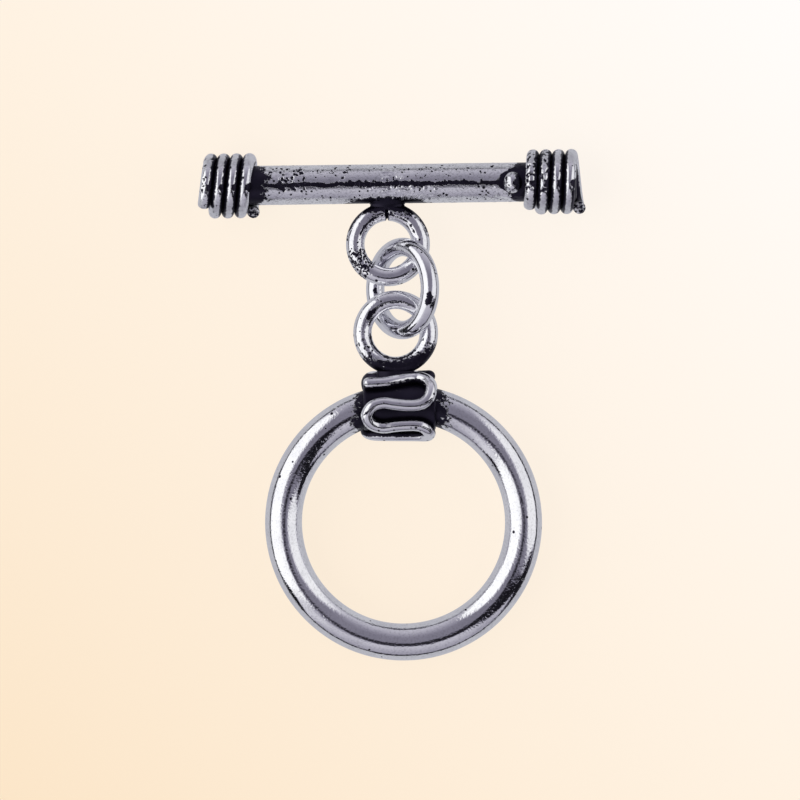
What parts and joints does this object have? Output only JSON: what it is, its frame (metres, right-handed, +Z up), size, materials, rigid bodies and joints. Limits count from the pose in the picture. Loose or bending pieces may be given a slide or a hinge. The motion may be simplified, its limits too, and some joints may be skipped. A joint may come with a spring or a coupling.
{
  "type": "toggle clasp",
  "caption": "Toggle clasp of oxidised silver: a bar with wire-wound ends and a round hoop with a serpentine-wire collar, joined by a jump ring through their soldered eyes.",
  "frame": {"origin": "on the surface that the clasp lies on, in the middle of its outline", "axes": "+Z up from the surface; +Y from the hoop to the bar; X along the bar"},
  "size_m": [0.0252, 0.0332, 0.0055],
  "materials": {
    "oxidised_silver": "polished sterling silver with dark oxidised patches and pits",
    "coil_silver": "sterling silver wire, polished on its crests and blackened in its grooves",
    "bright_silver": "bright polished sterling silver wire",
    "blackened_silver": "oxidised sterling silver, black on the strip and polished on its wire"
  },
  "bodies": {
    "root": {"toggle_bar": "oxidised_silver", "left_coil": "coil_silver", "right_coil": "coil_silver", "link": "bright_silver", "collar": "blackened_silver", "hoop": "oxidised_silver"}
  },
  "joints": []
}
